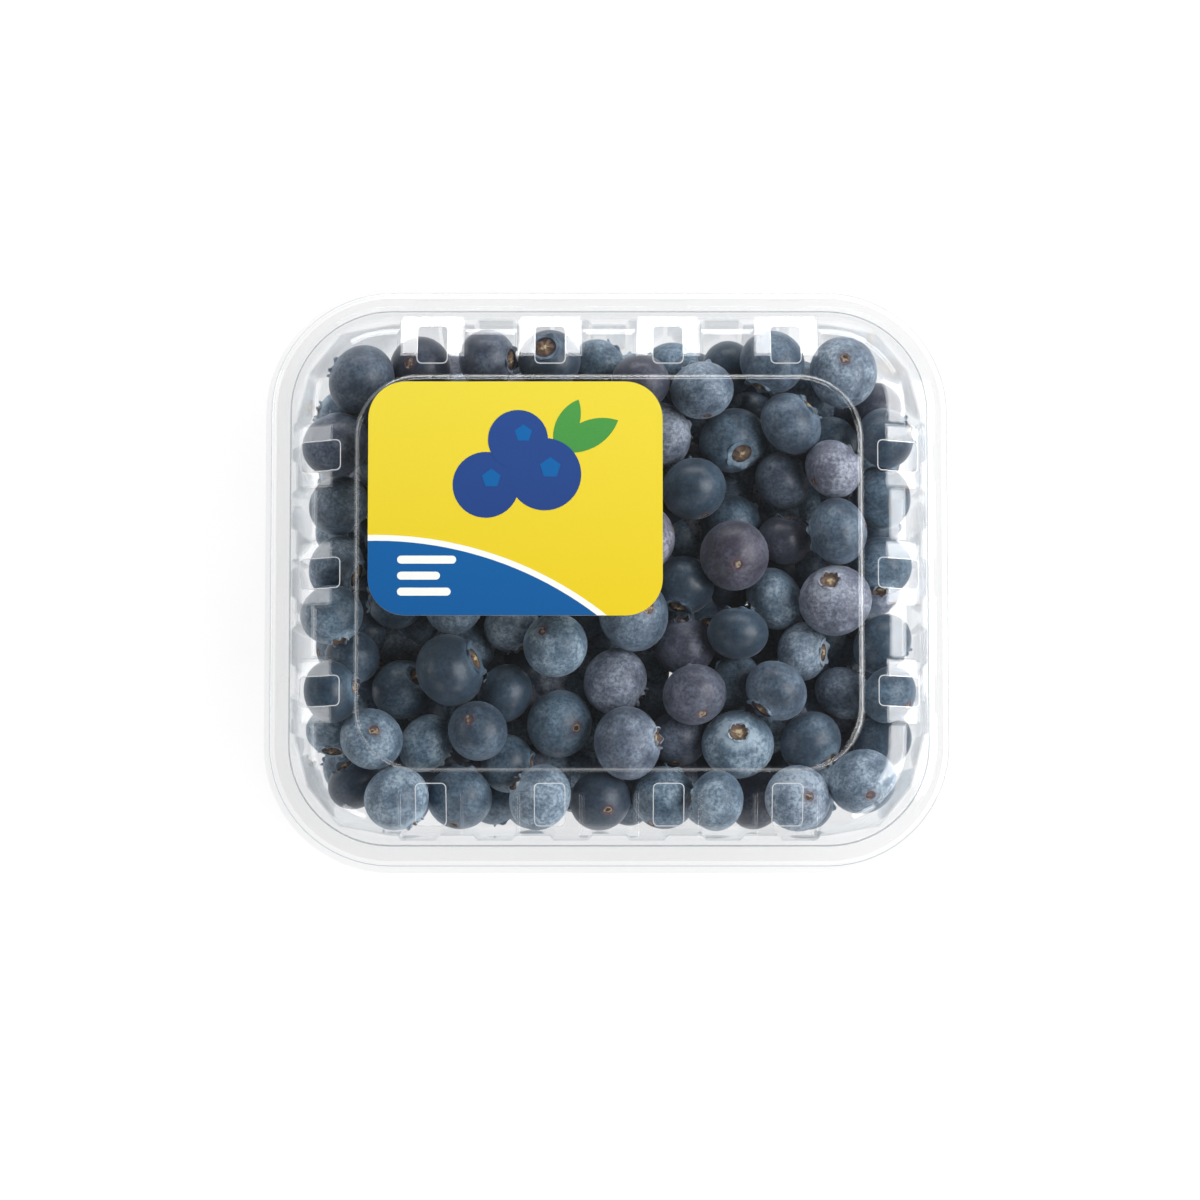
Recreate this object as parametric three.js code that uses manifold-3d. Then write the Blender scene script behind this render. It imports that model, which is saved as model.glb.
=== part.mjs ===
// Punnet of blueberries: a clear ribbed tray, its press-on lid with vent windows and a finger tab,
// a sticker on the lid, and the heap of fruit inside. Millimetres, +Z up. The origin is the middle
// of the flat base, on the surface that the punnet stands on. The front is towards -Y.
import * as THREE from "three";
import Module from "manifold-3d";
import { mergeVertices } from "three/addons/utils/BufferGeometryUtils.js";

const wasm = await Module();
wasm.setup();

// Driving dimensions of the pack
const PACK_LENGTH = 130;
const PACK_WIDTH = 111;
const RIM_RADIUS = 24;
const RIM_HEIGHT = 27;
const SHEET = 0.4;
const CLEARANCE = 0.3;

// The tray's wall leans out from the foot to the rim, and its ribs stand out of it
const WALL_INSET_X = 5.8;
const WALL_INSET_Y = 6.9;
const WALL_RADIUS = 18.2;
const WALL_DRAFT = 2.2;
const FOOT_ROUND = 3;
const TRAY_RIM_INSET = 2.2;
const TRAY_RIM_Z = RIM_HEIGHT - SHEET - CLEARANCE;
const RIB_DEPTH = 0.9;
const RIB_WIDTH = 8;
const RIB_SLOPE = 0.8;
const LONG_SIDE_RIBS = { count: 6, pitch: 14.3 };
const SHORT_SIDE_RIBS = { count: 5, pitch: 12.9 };

// The lid's section: how far in from the outer edge, and how high over the lid's flat rim
const LIP = { inset: 0.8, drop: 3.2 };
const SKIRT = { inset: 1.3 };
const RIDGE = { inset: 3.7, rise: 0.6 };
const DOME_FOOT = { inset: 4.8 };
const SHOULDER = [
  { inset: 6.6, rise: 4.6 },
  { inset: 8.0, rise: 7.0 },
  { inset: 10.5, rise: 8.8 },
  { inset: 14.2, rise: 9.6 },
];
const PANEL = { insetX: 17.4, insetY: 18.2, radius: 12, bevel: 0.8, rise: 10.3 };

// Vents along the lid's shoulder: a pocket with a sloped floor, and a window cut through its middle.
// Those of the long sides lie further in, by the shift.
const VENT_PITCH = 22.1;
const LONG_SIDE_SHIFT = 1.3;
const VENTS_LONG_SIDE = 4;
const VENTS_SHORT_SIDE = 3;
const POCKET = { width: 12.3, foot: { inset: 5.1, rise: 4.14 }, head: { inset: 12.9, rise: 8.7 } };
const WINDOW = { width: 5.5, from: 7.2, to: 14.7, foot: 1 };
const CUT_TOP = PANEL.rise + 2;

// Small snaps swell out from the ridge inside the lid's rim, one in front of each vent
const SNAP = { width: 6.2, depth: 1, slope: 0.9, drop: 0.1 };

// The finger tab fills the square corner that the rim's round leaves open
const TAB = { radius: 5.3, margin: 0.05, flare: 9, hollow: 0.8 };

// Sticker on the raised panel
const LABEL = { length: 55, width: 44, x: -17.5, y: 13.8, corner: 7, thickness: 0.2 };

// Fruit: a loose layer is poured in, the berries that show through the lid are laid on it, and all
// settle under the lid
const BERRY = { smallest: 10.6, spread: 3, flatness: 0.9, sides: 8, rows: 4 };
const POURED = { columns: 10, rows: 7, shift: 0.25, jitter: 3, height: 6, lift: 2 };
const SETTLE = { steps: 300, fall: 0.12, pull: 0.2, pulled: 240 };
const HEAP_TOP = 30.5;
const CORE = { inset: 11, radius: 12, low: 5.5, high: 15 };
// The tray's corners have flats, which leave this much less room than a full round
const CORNER_FLAT = 0.75;
// Heights at which the laid berries start: low, in the middle, on top
const LEVELS = [15, 18.5, 22.5];
// Laid berries: x, y, diameter, level
const LAID = [
  // Along the back, from the left
  [-47.2, 36.8, 13.6, 2], [-36.2, 41.3, 12, 1], [-29.5, 38.5, 11, 0], [-22.6, 41.2, 11.6, 1],
  [-16.5, 38.5, 11, 0], [-9, 41.2, 12, 1], [-0.5, 39.6, 11.5, 1], [6.2, 38.2, 11, 0],
  [12, 42, 11, 0], [16.8, 40.3, 12, 2], [23.6, 39.6, 11, 0], [31, 41, 12.5, 1],
  [44.3, 37.6, 13.4, 2], [50, 33.5, 11, 0], [38, 39, 11, 0],
  // Along the left, from the back
  [-52, 24.8, 13.2, 1], [-43, 24.5, 11, 0], [-51, 12.8, 12, 1], [-42, 9, 11, 0],
  [-51.8, 3, 11.8, 1], [-52.6, -6.4, 12, 1], [-51, -13.4, 10.8, 0], [-52.6, -20.2, 11.8, 1],
  [-51.8, -28.2, 10.8, 0], [-47.2, -29.8, 11.8, 1], [-47, -38, 10.8, 0],
  // Along the right, from the back
  [52.6, 27, 12, 1], [53, 13.5, 12, 1], [53, 2.5, 12, 1], [53, -10.3, 12, 1],
  [52.6, -20.8, 11.2, 1], [51.4, -29.3, 11.6, 0], [48.2, -38, 12.6, 1],
  // Along the front, from the left
  [-41.6, -40.5, 12.6, 1], [-29, -41.6, 12.6, 1], [-19.5, -38.5, 10.8, 0], [-11, -41.4, 13, 1],
  [-2.2, -41.3, 11.6, 0], [9, -42.4, 12.6, 1], [18.6, -41.4, 11.2, 1], [28.5, -41.5, 11.5, 0],
  [36, -42, 12.6, 1],
  // In the middle, right of the sticker
  [8.8, 28.8, 12.8, 1], [24.8, 29.8, 12.8, 2], [36.4, 28.6, 12.4, 2], [44, 27.5, 11, 0],
  [16.8, 18.6, 12.6, 2], [31, 18.8, 11.6, 1], [42, 19.5, 11.2, 1], [25, 11.6, 12, 1],
  [24.6, 4, 13.3, 2], [41.8, 8.4, 12.6, 1], [42.4, -3.1, 13.8, 2], [7, 9.3, 12.4, 1],
  [15.2, 0.4, 11.6, 1], [32.8, -0.4, 12, 0], [4.4, -5.6, 14, 2], [14.9, -11.8, 12, 1],
  [25, -9, 11.6, 1], [41, -10.6, 11, 0], [33.6, -17.4, 12.2, 2], [44, -19.6, 11, 1],
  [16.6, -22.4, 12.2, 2], [1.8, -19.3, 12.8, 1], [24, -19, 11, 0], [3.4, -31.7, 13.6, 2],
  [24.9, -31.8, 13.4, 2], [38.2, -30.8, 12, 1], [12.8, -31, 11, 0], [32, 8.5, 11, 0],
  // In the middle, in front of the sticker
  [-42, -20, 11.8, 1], [-29.9, -17.4, 14, 2], [-35.6, -29.2, 11.4, 1], [-23.9, -29.3, 11.4, 2],
  [-9.5, -26.6, 12.8, 2], [-11.3, -12, 12.4, 2], [-19, -20.5, 11, 0], [-3.5, -5, 12, 0],
  [-19.5, -9.5, 11, 1],
  // Under the sticker
  [-38, 31, 12, 1], [-26.5, 31, 12.5, 1], [-15, 30.5, 12, 1], [-3.5, 30.5, 12.4, 1],
  [-32.5, 20, 12.6, 1], [-20.5, 19.5, 12, 1], [-9, 20, 12.8, 1], [3.5, 19, 11.8, 1],
  [-29.5, 7.5, 12.4, 1], [-17, 8, 12, 1], [-5, 8.5, 12.6, 1], [-40.5, -2, 12, 1],
  [-29, -4.5, 12, 1],
];

const HALF_LENGTH = PACK_LENGTH / 2;
const HALF_WIDTH = PACK_WIDTH / 2;
const LIP_Z = RIM_HEIGHT - LIP.drop;
const PANEL_Z = RIM_HEIGHT + PANEL.rise;
const WALL_LENGTH = HALF_LENGTH - WALL_INSET_X;
const WALL_WIDTH = HALF_WIDTH - WALL_INSET_Y;
const radians = THREE.MathUtils.degToRad;

// Where each rib starts and ends along a side, as [place, share of the rib's depth]
function ribStops({ count, pitch }) {
  const stops = [];
  for (let i = 0; i < count; i++) {
    const middle = (i - (count - 1) / 2) * pitch;
    const half = RIB_WIDTH / 2;
    stops.push([middle - half, 0], [middle - half + RIB_SLOPE, 1]);
    stops.push([middle + half - RIB_SLOPE, 1], [middle + half, 0]);
  }
  return stops;
}

const TRAY_STOPS = {
  long: ribStops(LONG_SIDE_RIBS),
  short: ribStops(SHORT_SIDE_RIBS),
  corner: [[0, 0], [30, 0], [34, 1], [45, 1], [56, 1], [60, 0], [90, 0]],
};
// The lid's corners have a flat each side of a round middle
const LID_STOPS = {
  long: [],
  short: [],
  corner: [[0, 0], [15, -1], [30, 0], [45, 0], [60, 0], [75, -1], [90, 0]],
};

// One ring of points round the pack at height z, anticlockwise from the front's left end.
// push moves each point out by its stop's share.
function ring(halfX, halfY, radius, z, stops, push = 0) {
  const points = [];
  for (let quarter = 0; quarter < 4; quarter++) {
    const isLong = quarter % 2 === 0;
    const along = isLong ? halfX : halfY;
    const out = isLong ? halfY : halfX;
    const turn = radians(90 * quarter);
    const add = (x, y) => {
      const point = new THREE.Vector2(x, y).rotateAround(new THREE.Vector2(), turn);
      points.push(new THREE.Vector3(point.x, point.y, z));
    };
    for (const [place, share] of isLong ? stops.long : stops.short) {
      add(place, -(out + share * push));
    }
    for (const [degrees, share] of stops.corner) {
      const angle = radians(degrees - 90);
      const reach = radius + share * push;
      add(along - radius + reach * Math.cos(angle), -(out - radius) + reach * Math.sin(angle));
    }
  }
  return points;
}

// One closed surface through rings of equal count, with a flat cap on the first and the last,
// fanned from a middle point so that points along a straight side keep their place
function loft(rings) {
  const count = rings[0].length;
  const points = rings.flat();
  const low = points.push(new THREE.Vector3(0, 0, rings[0][0].z)) - 1;
  const high = points.push(new THREE.Vector3(0, 0, rings.at(-1)[0].z)) - 1;
  const last = (rings.length - 1) * count;
  const index = [];
  for (let i = 0; i < count; i++) {
    const next = (i + 1) % count;
    for (let start = 0; start < last; start += count) {
      const a = start + i;
      const b = start + next;
      index.push(a, b, b + count, a, b + count, a + count);
    }
    index.push(low, next, i);
    index.push(high, last + i, last + next);
  }
  const geometry = new THREE.BufferGeometry();
  geometry.setFromPoints(points);
  geometry.setIndex(index);
  return geometry;
}

// A closed geometry as a solid that can be joined and cut
function solid(geometry) {
  let closed = geometry.clone();
  closed.deleteAttribute("normal");
  closed.deleteAttribute("uv");
  closed = mergeVertices(closed, 1e-4);
  return new wasm.Manifold(
    new wasm.Mesh({
      numProp: 3,
      vertProperties: closed.getAttribute("position").array,
      triVerts: new Uint32Array(closed.index.array),
    }),
  );
}

function geometryOf(made) {
  const mesh = made.getMesh();
  const geometry = new THREE.BufferGeometry();
  geometry.setAttribute("position", new THREE.Float32BufferAttribute(mesh.vertProperties, 3));
  geometry.setIndex(new THREE.BufferAttribute(mesh.triVerts, 1));
  geometry.computeVertexNormals();
  return geometry;
}

// A flat outline, thickened from z to z + height
function plate(shape, z, height) {
  const settings = { depth: height, bevelEnabled: false, curveSegments: 6 };
  return new THREE.ExtrudeGeometry(shape, settings).translate(0, 0, z);
}

// The tray's wall at height z, measured to the inside face
function insideAt(z) {
  const lean = WALL_DRAFT * (1 - z / TRAY_RIM_Z);
  return {
    halfX: WALL_LENGTH - SHEET - lean,
    halfY: WALL_WIDTH - SHEET - lean,
    radius: WALL_RADIUS - SHEET - lean,
  };
}

// Clear tray: floor, rounded foot, ribbed wall and flat rim, all one sheet
function makeTray() {
  const wall = (inset, z, push) =>
    ring(WALL_LENGTH - inset, WALL_WIDTH - inset, WALL_RADIUS - inset, z, TRAY_STOPS, push);
  const rim = (z) => {
    const inset = TRAY_RIM_INSET;
    return ring(HALF_LENGTH - inset, HALF_WIDTH - inset, RIM_RADIUS - inset, z, TRAY_STOPS);
  };
  // A point of the foot's round, halfway along its quarter turn
  const bend = FOOT_ROUND * (1 - Math.SQRT1_2);
  return loft([
    wall(WALL_DRAFT + FOOT_ROUND, 0, 0),
    wall(WALL_DRAFT + bend, bend, RIB_DEPTH / 2),
    wall(WALL_DRAFT, FOOT_ROUND, RIB_DEPTH),
    wall(0, TRAY_RIM_Z - SHEET, RIB_DEPTH),
    rim(TRAY_RIM_Z - SHEET),
    rim(TRAY_RIM_Z),
    wall(SHEET, TRAY_RIM_Z, RIB_DEPTH),
    wall(WALL_DRAFT + SHEET, FOOT_ROUND, RIB_DEPTH),
    wall(WALL_DRAFT + bend + SHEET, bend + SHEET, RIB_DEPTH / 2),
    wall(WALL_DRAFT + FOOT_ROUND, SHEET, 0),
  ]);
}

// The lid's outer skin, or with skin at the sheet's thickness the space under it
function lidSkin(skin) {
  const flat = 1 - Math.cos(radians(15));
  const level = (inset, rise, faceted) => {
    const radius = RIM_RADIUS - inset - skin;
    const push = faceted ? flat * radius : 0;
    const z = RIM_HEIGHT + rise - skin;
    return ring(HALF_LENGTH - inset - skin, HALF_WIDTH - inset - skin, radius, z, LID_STOPS, push);
  };
  const panel = (step, rise) => {
    const halfX = HALF_LENGTH - PANEL.insetX - skin - step;
    const halfY = HALF_WIDTH - PANEL.insetY - skin - step;
    return ring(halfX, halfY, PANEL.radius - step, RIM_HEIGHT + rise - skin, LID_STOPS);
  };
  const deck = SHOULDER.at(-1).rise;
  return loft([
    level(skin ? LIP.inset : 0, -LIP.drop, false),
    ...(skin ? [] : [level(0, SHEET - LIP.drop, false), level(LIP.inset, SHEET - LIP.drop, false)]),
    level(SKIRT.inset, 0, false),
    level(RIDGE.inset, 0, false),
    level(RIDGE.inset + RIDGE.rise / 2, RIDGE.rise, false),
    level(DOME_FOOT.inset, RIDGE.rise, true),
    ...SHOULDER.map(({ inset, rise }) => level(inset, rise, true)),
    panel(0, deck),
    panel(PANEL.bevel, PANEL.rise),
  ]);
}

// One solid of a piece at each vent. make builds it for a front side at the given reach from the middle.
function joinedAtVents(make, shift = 0) {
  const made = [];
  for (let quarter = 0; quarter < 4; quarter++) {
    const isLong = quarter % 2 === 0;
    const count = isLong ? VENTS_LONG_SIDE : VENTS_SHORT_SIDE;
    const reach = isLong ? HALF_WIDTH - shift : HALF_LENGTH;
    for (let i = 0; i < count; i++) {
      const geometry = make(reach);
      geometry.translate((i - (count - 1) / 2) * VENT_PITCH, 0, 0);
      geometry.rotateZ(radians(90 * quarter));
      made.push(solid(geometry));
    }
  }
  return wasm.Manifold.union(made);
}

// A section drawn as [inset from the edge, height over the rim], run along the side for width
function alongSide(section, width, reach) {
  const corners = section.map(([inset, rise]) => new THREE.Vector2(inset - reach, RIM_HEIGHT + rise));
  const geometry = plate(new THREE.Shape(corners), -width / 2, width);
  // The section's plane becomes YZ, and the run lies along X
  const run = new THREE.Vector3(1, 0, 0);
  const inward = new THREE.Vector3(0, 1, 0);
  const up = new THREE.Vector3(0, 0, 1);
  return geometry.applyMatrix4(new THREE.Matrix4().makeBasis(inward, up, run));
}

// The pocket's floor slopes, and its sides and back stand upright
function pocketCutter(skin) {
  const { foot, head } = POCKET;
  const front = foot.inset - skin;
  const back = head.inset + skin;
  const section = [[front, foot.rise - skin], [back, head.rise - skin], [back, CUT_TOP], [front, CUT_TOP]];
  return (reach) => alongSide(section, POCKET.width + 2 * skin, reach);
}

function windowCutter(reach) {
  const { width, from, to, foot } = WINDOW;
  return alongSide([[from, foot], [to, foot], [to, CUT_TOP], [from, CUT_TOP]], width, reach);
}

function snapBump(reach) {
  const shape = new THREE.Shape();
  const base = RIDGE.inset + RIDGE.rise - reach;
  const front = RIDGE.inset - SNAP.depth - reach;
  const half = SNAP.width / 2;
  shape.moveTo(-half - SNAP.slope, base);
  shape.lineTo(-half, front);
  shape.lineTo(half, front);
  shape.lineTo(half + SNAP.slope, base);
  return plate(shape, RIM_HEIGHT - SHEET / 2, SHEET / 2 + RIDGE.rise - SNAP.drop);
}

// Flat finger tab: a disc on a neck that flares into the lid's lip
function makeTab() {
  const { radius, margin, flare, hollow } = TAB;
  const shape = new THREE.Shape();
  const x = HALF_LENGTH - radius - margin;
  const y = HALF_WIDTH - radius - margin;
  const reach = radius * Math.SQRT1_2;
  shape.moveTo(x - 2 * flare, y);
  shape.quadraticCurveTo(x - flare, y + reach * hollow, x - reach, y + reach);
  shape.absarc(x, y, radius, radians(135), radians(-45), true);
  shape.quadraticCurveTo(x + reach * hollow, y - flare, x, y - 2 * flare);
  return plate(shape, LIP_Z, SHEET);
}

// Clear lid: skirt and flat rim, domed shoulder with vents, raised panel and finger tab
function makeLid() {
  const outside = solid(lidSkin(0)).subtract(joinedAtVents(pocketCutter(0), LONG_SIDE_SHIFT));
  const space = solid(lidSkin(SHEET)).subtract(joinedAtVents(pocketCutter(SHEET), LONG_SIDE_SHIFT));
  const shell = outside.add(solid(makeTab())).add(joinedAtVents(snapBump)).subtract(space);
  return geometryOf(shell.subtract(joinedAtVents(windowCutter, LONG_SIDE_SHIFT)));
}

// Thin sticker with round corners, its underside at height 0
function makeLabel() {
  const { length, width, corner, thickness } = LABEL;
  const shape = new THREE.Shape();
  const x = length / 2 - corner;
  const y = width / 2 - corner;
  shape.absarc(x, y, corner, 0, radians(90), false);
  shape.absarc(-x, y, corner, radians(90), radians(180), false);
  shape.absarc(-x, -y, corner, radians(180), radians(270), false);
  shape.absarc(x, -y, corner, radians(270), radians(360), false);
  return plate(shape, 0, thickness);
}

// Seeded draws from 0 to 1, the same each run
let drawState = 20299;
function draw() {
  drawState = (drawState * 1664525 + 1013904223) % 4294967296;
  return drawState / 4294967296;
}

// The poured berries, at rough places on a grid with every other row shifted
function pouredBerries() {
  const berries = [];
  const { columns, rows, jitter } = POURED;
  for (let row = 0; row < rows; row++) {
    const shift = row % 2 ? POURED.shift : -POURED.shift;
    for (let column = 0; column < columns; column++) {
      const r = (BERRY.smallest + (BERRY.spread * (draw() + draw())) / 2) / 2;
      const acrossX = (column - (columns - 1) / 2 + shift) * ((2 * WALL_LENGTH) / columns);
      const acrossY = (row - (rows - 1) / 2) * ((2 * WALL_WIDTH) / rows);
      const x = acrossX + (draw() - 0.5) * jitter;
      const y = acrossY + (draw() - 0.5) * jitter;
      berries.push({ r, x, y, z: POURED.height + draw() * POURED.lift });
    }
  }
  return berries;
}

// Berries settled in the tray: they fall a little, push apart and keep inside, over and over, and
// the laid ones are drawn back to their places until near the end
function settledBerries() {
  const laid = LAID.map(([x, y, diameter, level]) => ({ r: diameter / 2, x, y, z: LEVELS[level] }));
  const berries = [...pouredBerries(), ...laid];
  for (let step = 0; step < SETTLE.steps; step++) {
    for (const berry of berries) berry.z -= SETTLE.fall * (1 - step / SETTLE.steps);
    if (step < SETTLE.pulled) {
      LAID.forEach(([x, y], i) => {
        laid[i].x += (x - laid[i].x) * SETTLE.pull;
        laid[i].y += (y - laid[i].y) * SETTLE.pull;
      });
    }
    pushApart(berries);
    for (const berry of berries) keepInside(berry);
  }
  return berries;
}

function pushApart(berries) {
  for (let i = 0; i < berries.length; i++) {
    for (let j = i + 1; j < berries.length; j++) {
      const a = berries[i];
      const b = berries[j];
      const x = b.x - a.x;
      const y = b.y - a.y;
      const z = b.z - a.z;
      const apart = Math.sqrt(x * x + y * y + z * z);
      const overlap = a.r + b.r - apart;
      if (overlap <= 0) continue;
      const share = overlap / apart / 2;
      a.x -= x * share;
      a.y -= y * share;
      a.z -= z * share;
      b.x += x * share;
      b.y += y * share;
      b.z += z * share;
    }
  }
}

function keepInside(berry) {
  const room = berry.r + CLEARANCE;
  const { halfX, halfY, radius } = insideAt(berry.z);
  berry.z = Math.min(Math.max(berry.z, SHEET + room), HEAP_TOP - berry.r);
  const cornerX = Math.abs(berry.x) - (halfX - radius);
  const cornerY = Math.abs(berry.y) - (halfY - radius);
  const sideX = Math.sign(berry.x);
  const sideY = Math.sign(berry.y);
  if (cornerX > 0 && cornerY > 0) {
    const reach = Math.sqrt(cornerX * cornerX + cornerY * cornerY);
    const share = Math.min(1, (radius - room - CORNER_FLAT) / reach);
    berry.x = sideX * (halfX - radius + cornerX * share);
    berry.y = sideY * (halfY - radius + cornerY * share);
  } else {
    berry.x = sideX * Math.min(Math.abs(berry.x), halfX - room);
    berry.y = sideY * Math.min(Math.abs(berry.y), halfY - room);
  }
}

// The heap is one solid: each berry with few sides, fused to a smaller core
function makeBerries() {
  const berries = settledBerries();
  const shape = new THREE.SphereGeometry(1, BERRY.sides, BERRY.rows);
  const made = berries.map(({ r, x, y, z }) => {
    const axis = new THREE.Vector3(draw() - 0.5, draw() - 0.5, draw() - 0.5).normalize();
    const turn = new THREE.Quaternion().setFromUnitVectors(new THREE.Vector3(0, 1, 0), axis);
    const size = new THREE.Vector3(r, r * BERRY.flatness, r);
    const placed = new THREE.Matrix4().compose(new THREE.Vector3(x, y, z), turn, size);
    return solid(shape.clone().applyMatrix4(placed));
  });
  const core = (z) => ring(HALF_LENGTH - CORE.inset, HALF_WIDTH - CORE.inset, CORE.radius, z, LID_STOPS);
  made.push(solid(loft([core(CORE.low), core(CORE.high)])));
  // Fusing seals small hollows between berries: the largest body is the heap with them filled
  const bodies = wasm.Manifold.union(made).decompose();
  bodies.sort((a, b) => b.volume() - a.volume());
  return geometryOf(bodies[0]);
}

const clearPlastic = new THREE.MeshStandardMaterial({ color: 0xf4f7f8, roughness: 0.08, metalness: 0 });
clearPlastic.transparent = true;
clearPlastic.opacity = 0.3;
const fruitSkin = new THREE.MeshStandardMaterial({ color: 0x3b4459, roughness: 0.6, metalness: 0 });
const printedPaper = new THREE.MeshStandardMaterial({ color: 0xf7d717, roughness: 0.45, metalness: 0 });

const punnet = new THREE.Group();

function place(name, geometry, material, x = 0, y = 0, z = 0) {
  const mesh = new THREE.Mesh(geometry, material);
  mesh.name = name;
  mesh.position.set(x, y, z);
  punnet.add(mesh);
}

place("tray", makeTray(), clearPlastic);
place("lid", makeLid(), clearPlastic);
place("label", makeLabel(), printedPaper, LABEL.x, LABEL.y, PANEL_Z);
place("berries", makeBerries(), fruitSkin);

export default punnet;
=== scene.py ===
"""A shut punnet of blueberries: clear ribbed tray, heaped fruit, clear vented lid and its sticker."""

import math
import random

import bmesh
import bpy
from mathutils import Matrix, Vector


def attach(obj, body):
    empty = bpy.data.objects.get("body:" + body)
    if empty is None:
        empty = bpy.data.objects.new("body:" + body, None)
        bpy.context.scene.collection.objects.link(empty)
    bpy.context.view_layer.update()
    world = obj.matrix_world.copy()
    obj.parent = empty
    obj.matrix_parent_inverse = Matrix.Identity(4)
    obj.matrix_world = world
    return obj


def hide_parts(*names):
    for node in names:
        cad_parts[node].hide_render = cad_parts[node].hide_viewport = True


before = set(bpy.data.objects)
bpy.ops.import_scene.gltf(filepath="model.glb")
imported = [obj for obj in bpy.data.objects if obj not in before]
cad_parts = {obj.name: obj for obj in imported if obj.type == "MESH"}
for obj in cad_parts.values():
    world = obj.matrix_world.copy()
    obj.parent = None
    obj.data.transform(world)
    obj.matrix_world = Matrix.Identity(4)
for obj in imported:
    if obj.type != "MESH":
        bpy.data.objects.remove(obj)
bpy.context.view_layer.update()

# The tray
# A shallow box of clear PET, 0.4 mm sheet heated and drawn into a mould. Its walls are pressed
# into upright ribs that stiffen them, the corners into a pillar between two flats, and the
# sheet's edge is left as a flat rim that the lid sits on.

MM = 0.001
SHEET = 0.4
CLEARANCE = 0.3
HALF_LENGTH = 65
HALF_WIDTH = 55.5
RIM_HEIGHT = 27
RIM_RADIUS = 24
CORNER_STEPS = 16
TRAY_RIM_Z = RIM_HEIGHT - SHEET - CLEARANCE
TRAY_RIM_INSET = 2.2
WALL_HALF = (HALF_LENGTH - 5.8, HALF_WIDTH - 6.9)
WALL_RADIUS = 18.2
WALL_DRAFT = 2.2
FOOT_ROUND = 3
FOOT_STEPS = 5
RIB_DEPTH = 0.9
RIB_HALF = 4
RIB_SLOPE = 0.8
RIBS = ((6, 14.3), (5, 12.9))
# Between which heights a rib or pillar has which share of its depth: all of it down to the foot
RIB_FADE = ((FOOT_ROUND - 0.1, 99, 1), (1, FOOT_ROUND - 0.1, 0.6))
PILLAR_HALF = 3.4
# Points this near to the outline, at a side or at a corner, belong to the wall
SIDE_BAND = 4.5
CORNER_BAND = 12


def object_mode():
    """Leaves edit mode, with nothing selected."""
    if bpy.context.object and bpy.context.object.mode == "EDIT":
        bpy.ops.object.mode_set(mode="OBJECT")
    bpy.ops.object.select_all(action="DESELECT")


def start_piece(name):
    """Names the primitive just added, and makes its place and size part of its mesh."""
    piece = bpy.context.object
    piece.name = name
    piece.data.name = name
    bpy.ops.object.transform_apply(location=True, rotation=True, scale=True)
    return piece


def edit(piece):
    """Opens one piece alone in edit mode, with all of it selected."""
    object_mode()
    bpy.context.view_layer.objects.active = piece
    piece.select_set(True)
    bpy.ops.object.mode_set(mode="EDIT")
    bpy.ops.mesh.select_all(action="SELECT")


def pick(kind, wanted):
    """In edit mode, selects the faces, edges or points whose middle passes the test."""
    bpy.ops.mesh.select_mode(type={"faces": "FACE", "edges": "EDGE", "verts": "VERT"}[kind])
    bpy.ops.mesh.select_all(action="DESELECT")
    mesh = bmesh.from_edit_mesh(bpy.context.object.data)
    for part in getattr(mesh, kind):
        points = [part] if kind == "verts" else part.verts
        middle = sum((p.co for p in points), Vector()) / len(points)
        normal = None if kind == "edges" else part.normal
        part.select_set(bool(wanted(middle / MM, normal)))
    mesh.select_flush_mode()
    bmesh.update_edit_mesh(bpy.context.object.data)


def rounded_block(name, half, radius, z, height, corner_steps):
    """A flat block with round upright corners, left in edit mode with its far face selected."""
    object_mode()
    bpy.ops.mesh.primitive_plane_add(size=2, location=(0, 0, z * MM))
    bpy.context.object.scale = (half[0] * MM, half[1] * MM, 1)
    piece = start_piece(name)
    edit(piece)
    bpy.ops.mesh.bevel(offset=radius * MM, affect="VERTICES", segments=corner_steps, profile=0.5)
    bpy.ops.mesh.select_all(action="SELECT")
    bpy.ops.mesh.extrude_region_move(TRANSFORM_OT_translate={"value": (0, 0, height * MM)})
    bpy.ops.mesh.select_all(action="SELECT")
    bpy.ops.mesh.normals_make_consistent(inside=False)
    pick("faces", lambda at, normal: abs(at.z - z - height) < 1e-3)
    return piece


def press(steps):
    """Insets the selected face step by step, each step an inset and a move along its normal."""
    for inset, depth in steps:
        bpy.ops.mesh.inset(thickness=inset * MM, depth=depth * MM, use_even_offset=True)


def rib_stops(count, pitch):
    """Where the ribs of a side start, reach full depth, leave it and end."""
    middles = [(i - (count - 1) / 2) * pitch for i in range(count)]
    reach = (-RIB_HALF, -RIB_HALF + RIB_SLOPE, RIB_HALF - RIB_SLOPE, RIB_HALF)
    return [(middle, [middle + offset for offset in reach]) for middle in middles]


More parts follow.
